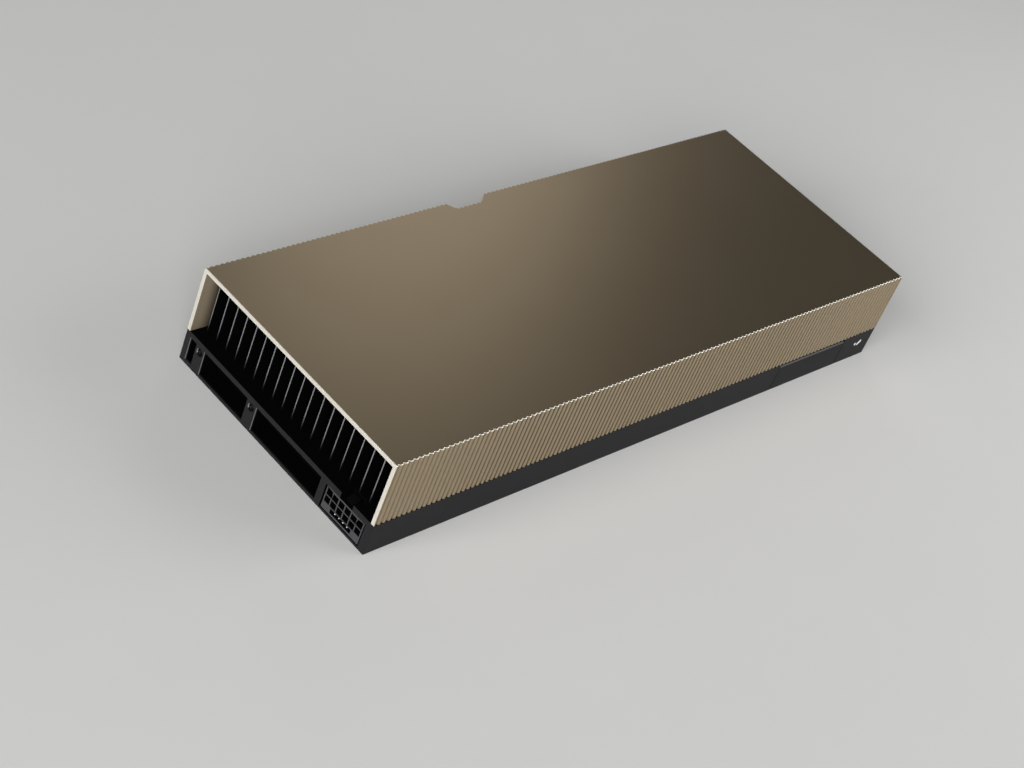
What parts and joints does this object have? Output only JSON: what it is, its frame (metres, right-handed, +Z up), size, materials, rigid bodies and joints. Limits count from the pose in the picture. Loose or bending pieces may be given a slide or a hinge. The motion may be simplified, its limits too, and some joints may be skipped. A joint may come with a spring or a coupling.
{
  "type": "passive accelerator card",
  "caption": "Long flat server card: fluted gold shroud on a black frame, finned heatsink open at both ends, card-edge contacts and a power socket.",
  "frame": {"origin": "middle of the bottom of the box round the whole card, on the face that it rests on", "axes": "+X from the power connector's end to the slot bracket's end, +Y from the plain long side to the side with the edge contacts, +Z up from the backplate to the shroud's flat top"},
  "size_m": [0.2676, 0.1112, 0.039],
  "materials": {
    "gold_aluminium": "satin anodised, bright cut edges",
    "black_frame": "fine satin black",
    "black_plate": "satin black",
    "black_film": "smooth",
    "dark_fins": "dark nickel",
    "dark_base": "black",
    "screw_steel": "black oxide",
    "spring_steel": "rolled",
    "circuit_board": "solder mask",
    "contact_gold": "hard gold plating",
    "substrate": "laminate",
    "silicon": "polished",
    "copper_ring": "nickel",
    "thermal_pad": "soft",
    "ferrite": "pressed powder",
    "chip_body": "moulded epoxy",
    "capacitor": "moulded",
    "connector_plastic": "moulded",
    "contact_metal": "tin plating"
  },
  "bodies": {
    "root": {"top_shroud": "gold_aluminium", "base_frame": "black_frame", "backplate": "black_plate", "insulating_sheet": "black_film", "case_screws": "screw_steel", "circuit_board": "circuit_board", "edge_contacts_front": "contact_gold", "edge_contacts_back": "contact_gold", "processor_substrate": "substrate", "package_stiffener": "copper_ring", "processor_die": "silicon", "memory_stacks": "silicon", "thermal_interface": "thermal_pad", "heatsink_base": "dark_base", "heatsink_fins": "dark_fins", "spring_plate": "spring_steel", "heatsink_screws": "screw_steel", "inductors": "ferrite", "power_stages": "chip_body", "output_capacitors": "capacitor", "inductor_pads": "thermal_pad", "power_stage_pads": "thermal_pad", "input_inductor": "ferrite", "input_capacitors": "capacitor", "current_shunts": "contact_metal", "input_fuses": "chip_body", "power_controller": "chip_body", "management_controller": "chip_body", "firmware_memory": "chip_body", "clock_crystal": "contact_metal", "back_capacitors": "capacitor", "power_connector_housing": "connector_plastic", "power_contacts": "contact_metal", "sense_contacts": "contact_metal", "bridge_connector": "connector_plastic", "bridge_connector_cover": "black_frame"}
  },
  "joints": []
}
